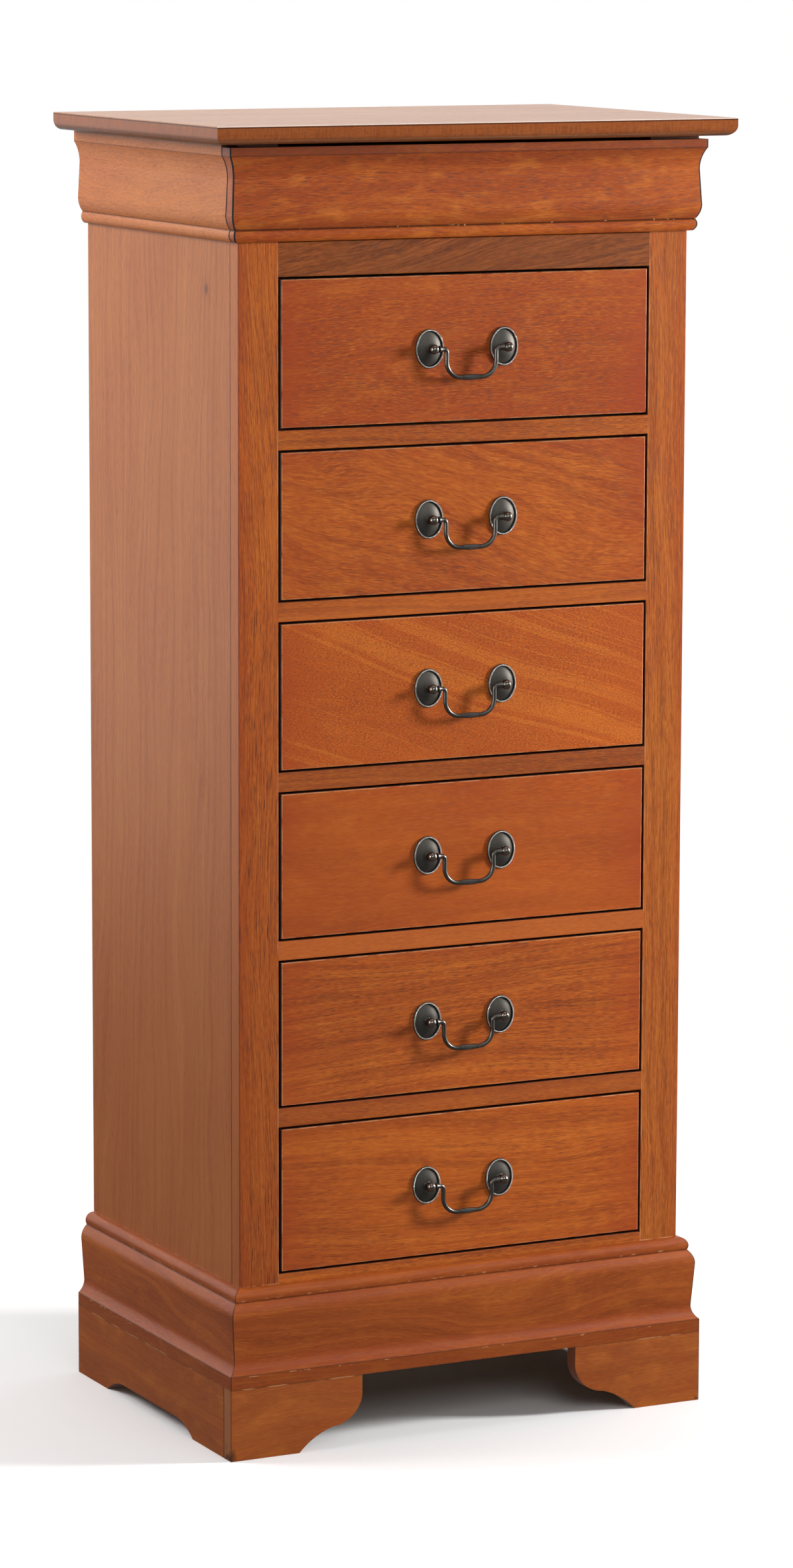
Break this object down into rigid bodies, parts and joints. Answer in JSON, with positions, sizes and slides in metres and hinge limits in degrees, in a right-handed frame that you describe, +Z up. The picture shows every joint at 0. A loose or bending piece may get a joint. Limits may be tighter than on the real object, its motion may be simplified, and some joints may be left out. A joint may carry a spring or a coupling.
{
  "type": "chest of drawers",
  "caption": "Tall narrow wooden chest with flush drawers on bail pulls, a hidden drawer behind the moulded cornice, a moulded base and bracket feet.",
  "frame": {"origin": "bottom centre of the chest's overall box, on the floor", "axes": "+Z up, the drawers' fronts face -Y, +X to the right of a viewer who faces them"},
  "size_m": [0.5606, 0.3908, 1.295],
  "materials": {
    "stained_wood": "orange-brown stain under satin lacquer",
    "inner_wood": "planed, unfinished",
    "drawer_box_wood": "thin clear sealer",
    "hardboard": "smooth hardboard",
    "dark_metal": "antique pewter, rubbed on the raised edges",
    "steel": "zinc plated",
    "nylon": "moulded"
  },
  "bodies": {
    "case": {"top_panel": "stained_wood", "left_side_panel": "stained_wood", "right_side_panel": "stained_wood", "left_stile": "stained_wood", "right_stile": "stained_wood", "frieze_rail": "stained_wood", "drawer_rails": "stained_wood", "left_cornice_moulding": "stained_wood", "right_cornice_moulding": "stained_wood", "front_base_moulding": "stained_wood", "left_base_moulding": "stained_wood", "right_base_moulding": "stained_wood", "left_front_foot": "stained_wood", "right_front_foot": "stained_wood", "left_base_board": "stained_wood", "right_base_board": "stained_wood", "back_post": "inner_wood", "back_rails": "inner_wood", "top_cleats": "inner_wood", "rear_foot_brackets": "inner_wood", "corner_blocks": "inner_wood", "centre_runners": "inner_wood", "back_panel": "hardboard", "runner_sockets": "nylon", "glide_buttons": "nylon", "wood_screws": "steel"},
    "drawer_1": {"drawer_1_front": "stained_wood", "drawer_1_box": "drawer_box_wood", "drawer_1_bottom": "hardboard", "drawer_1_pull_fittings": "dark_metal"},
    "bail_1": {"drawer_1_bail": "dark_metal"},
    "drawer_2": {"drawer_2_front": "stained_wood", "drawer_2_box": "drawer_box_wood", "drawer_2_bottom": "hardboard", "drawer_2_pull_fittings": "dark_metal"},
    "bail_2": {"drawer_2_bail": "dark_metal"},
    "drawer_3": {"drawer_3_front": "stained_wood", "drawer_3_box": "drawer_box_wood", "drawer_3_bottom": "hardboard", "drawer_3_pull_fittings": "dark_metal"},
    "bail_3": {"drawer_3_bail": "dark_metal"},
    "drawer_4": {"drawer_4_front": "stained_wood", "drawer_4_box": "drawer_box_wood", "drawer_4_bottom": "hardboard", "drawer_4_pull_fittings": "dark_metal"},
    "bail_4": {"drawer_4_bail": "dark_metal"},
    "drawer_5": {"drawer_5_front": "stained_wood", "drawer_5_box": "drawer_box_wood", "drawer_5_bottom": "hardboard", "drawer_5_pull_fittings": "dark_metal"},
    "bail_5": {"drawer_5_bail": "dark_metal"},
    "drawer_6": {"drawer_6_front": "stained_wood", "drawer_6_box": "drawer_box_wood", "drawer_6_bottom": "hardboard", "drawer_6_pull_fittings": "dark_metal"},
    "bail_6": {"drawer_6_bail": "dark_metal"},
    "cornice_drawer": {"cornice_drawer_front": "stained_wood", "cornice_drawer_box": "drawer_box_wood", "cornice_drawer_bottom": "hardboard", "cornice_drawer_screws": "steel"}
  },
  "joints": [
    {"name": "drawer_1_slide", "type": "slide", "parent": "case", "child": "drawer_1", "axis": [0, -1, 0], "range_m": [0, 0.25]},
    {"name": "bail_1_swing", "type": "hinge", "parent": "drawer_1", "child": "bail_1", "pos_m": [0, -0.1721, 1.07715], "axis": [-1, 0, 0], "range_deg": [-15, 190]},
    {"name": "drawer_2_slide", "type": "slide", "parent": "case", "child": "drawer_2", "axis": [0, -1, 0], "range_m": [0, 0.25]},
    {"name": "bail_2_swing", "type": "hinge", "parent": "drawer_2", "child": "bail_2", "pos_m": [0, -0.1721, 0.91185], "axis": [-1, 0, 0], "range_deg": [-15, 190]},
    {"name": "drawer_3_slide", "type": "slide", "parent": "case", "child": "drawer_3", "axis": [0, -1, 0], "range_m": [0, 0.25]},
    {"name": "bail_3_swing", "type": "hinge", "parent": "drawer_3", "child": "bail_3", "pos_m": [0, -0.1721, 0.74655], "axis": [-1, 0, 0], "range_deg": [-15, 190]},
    {"name": "drawer_4_slide", "type": "slide", "parent": "case", "child": "drawer_4", "axis": [0, -1, 0], "range_m": [0, 0.25]},
    {"name": "bail_4_swing", "type": "hinge", "parent": "drawer_4", "child": "bail_4", "pos_m": [0, -0.1721, 0.58125], "axis": [-1, 0, 0], "range_deg": [-15, 190]},
    {"name": "drawer_5_slide", "type": "slide", "parent": "case", "child": "drawer_5", "axis": [0, -1, 0], "range_m": [0, 0.25]},
    {"name": "bail_5_swing", "type": "hinge", "parent": "drawer_5", "child": "bail_5", "pos_m": [0, -0.1721, 0.41595], "axis": [-1, 0, 0], "range_deg": [-15, 190]},
    {"name": "drawer_6_slide", "type": "slide", "parent": "case", "child": "drawer_6", "axis": [0, -1, 0], "range_m": [0, 0.25]},
    {"name": "bail_6_swing", "type": "hinge", "parent": "drawer_6", "child": "bail_6", "pos_m": [0, -0.1721, 0.25065], "axis": [-1, 0, 0], "range_deg": [-15, 190]},
    {"name": "cornice_drawer_slide", "type": "slide", "parent": "case", "child": "cornice_drawer", "axis": [0, -1, 0], "range_m": [0, 0.25]}
  ]
}
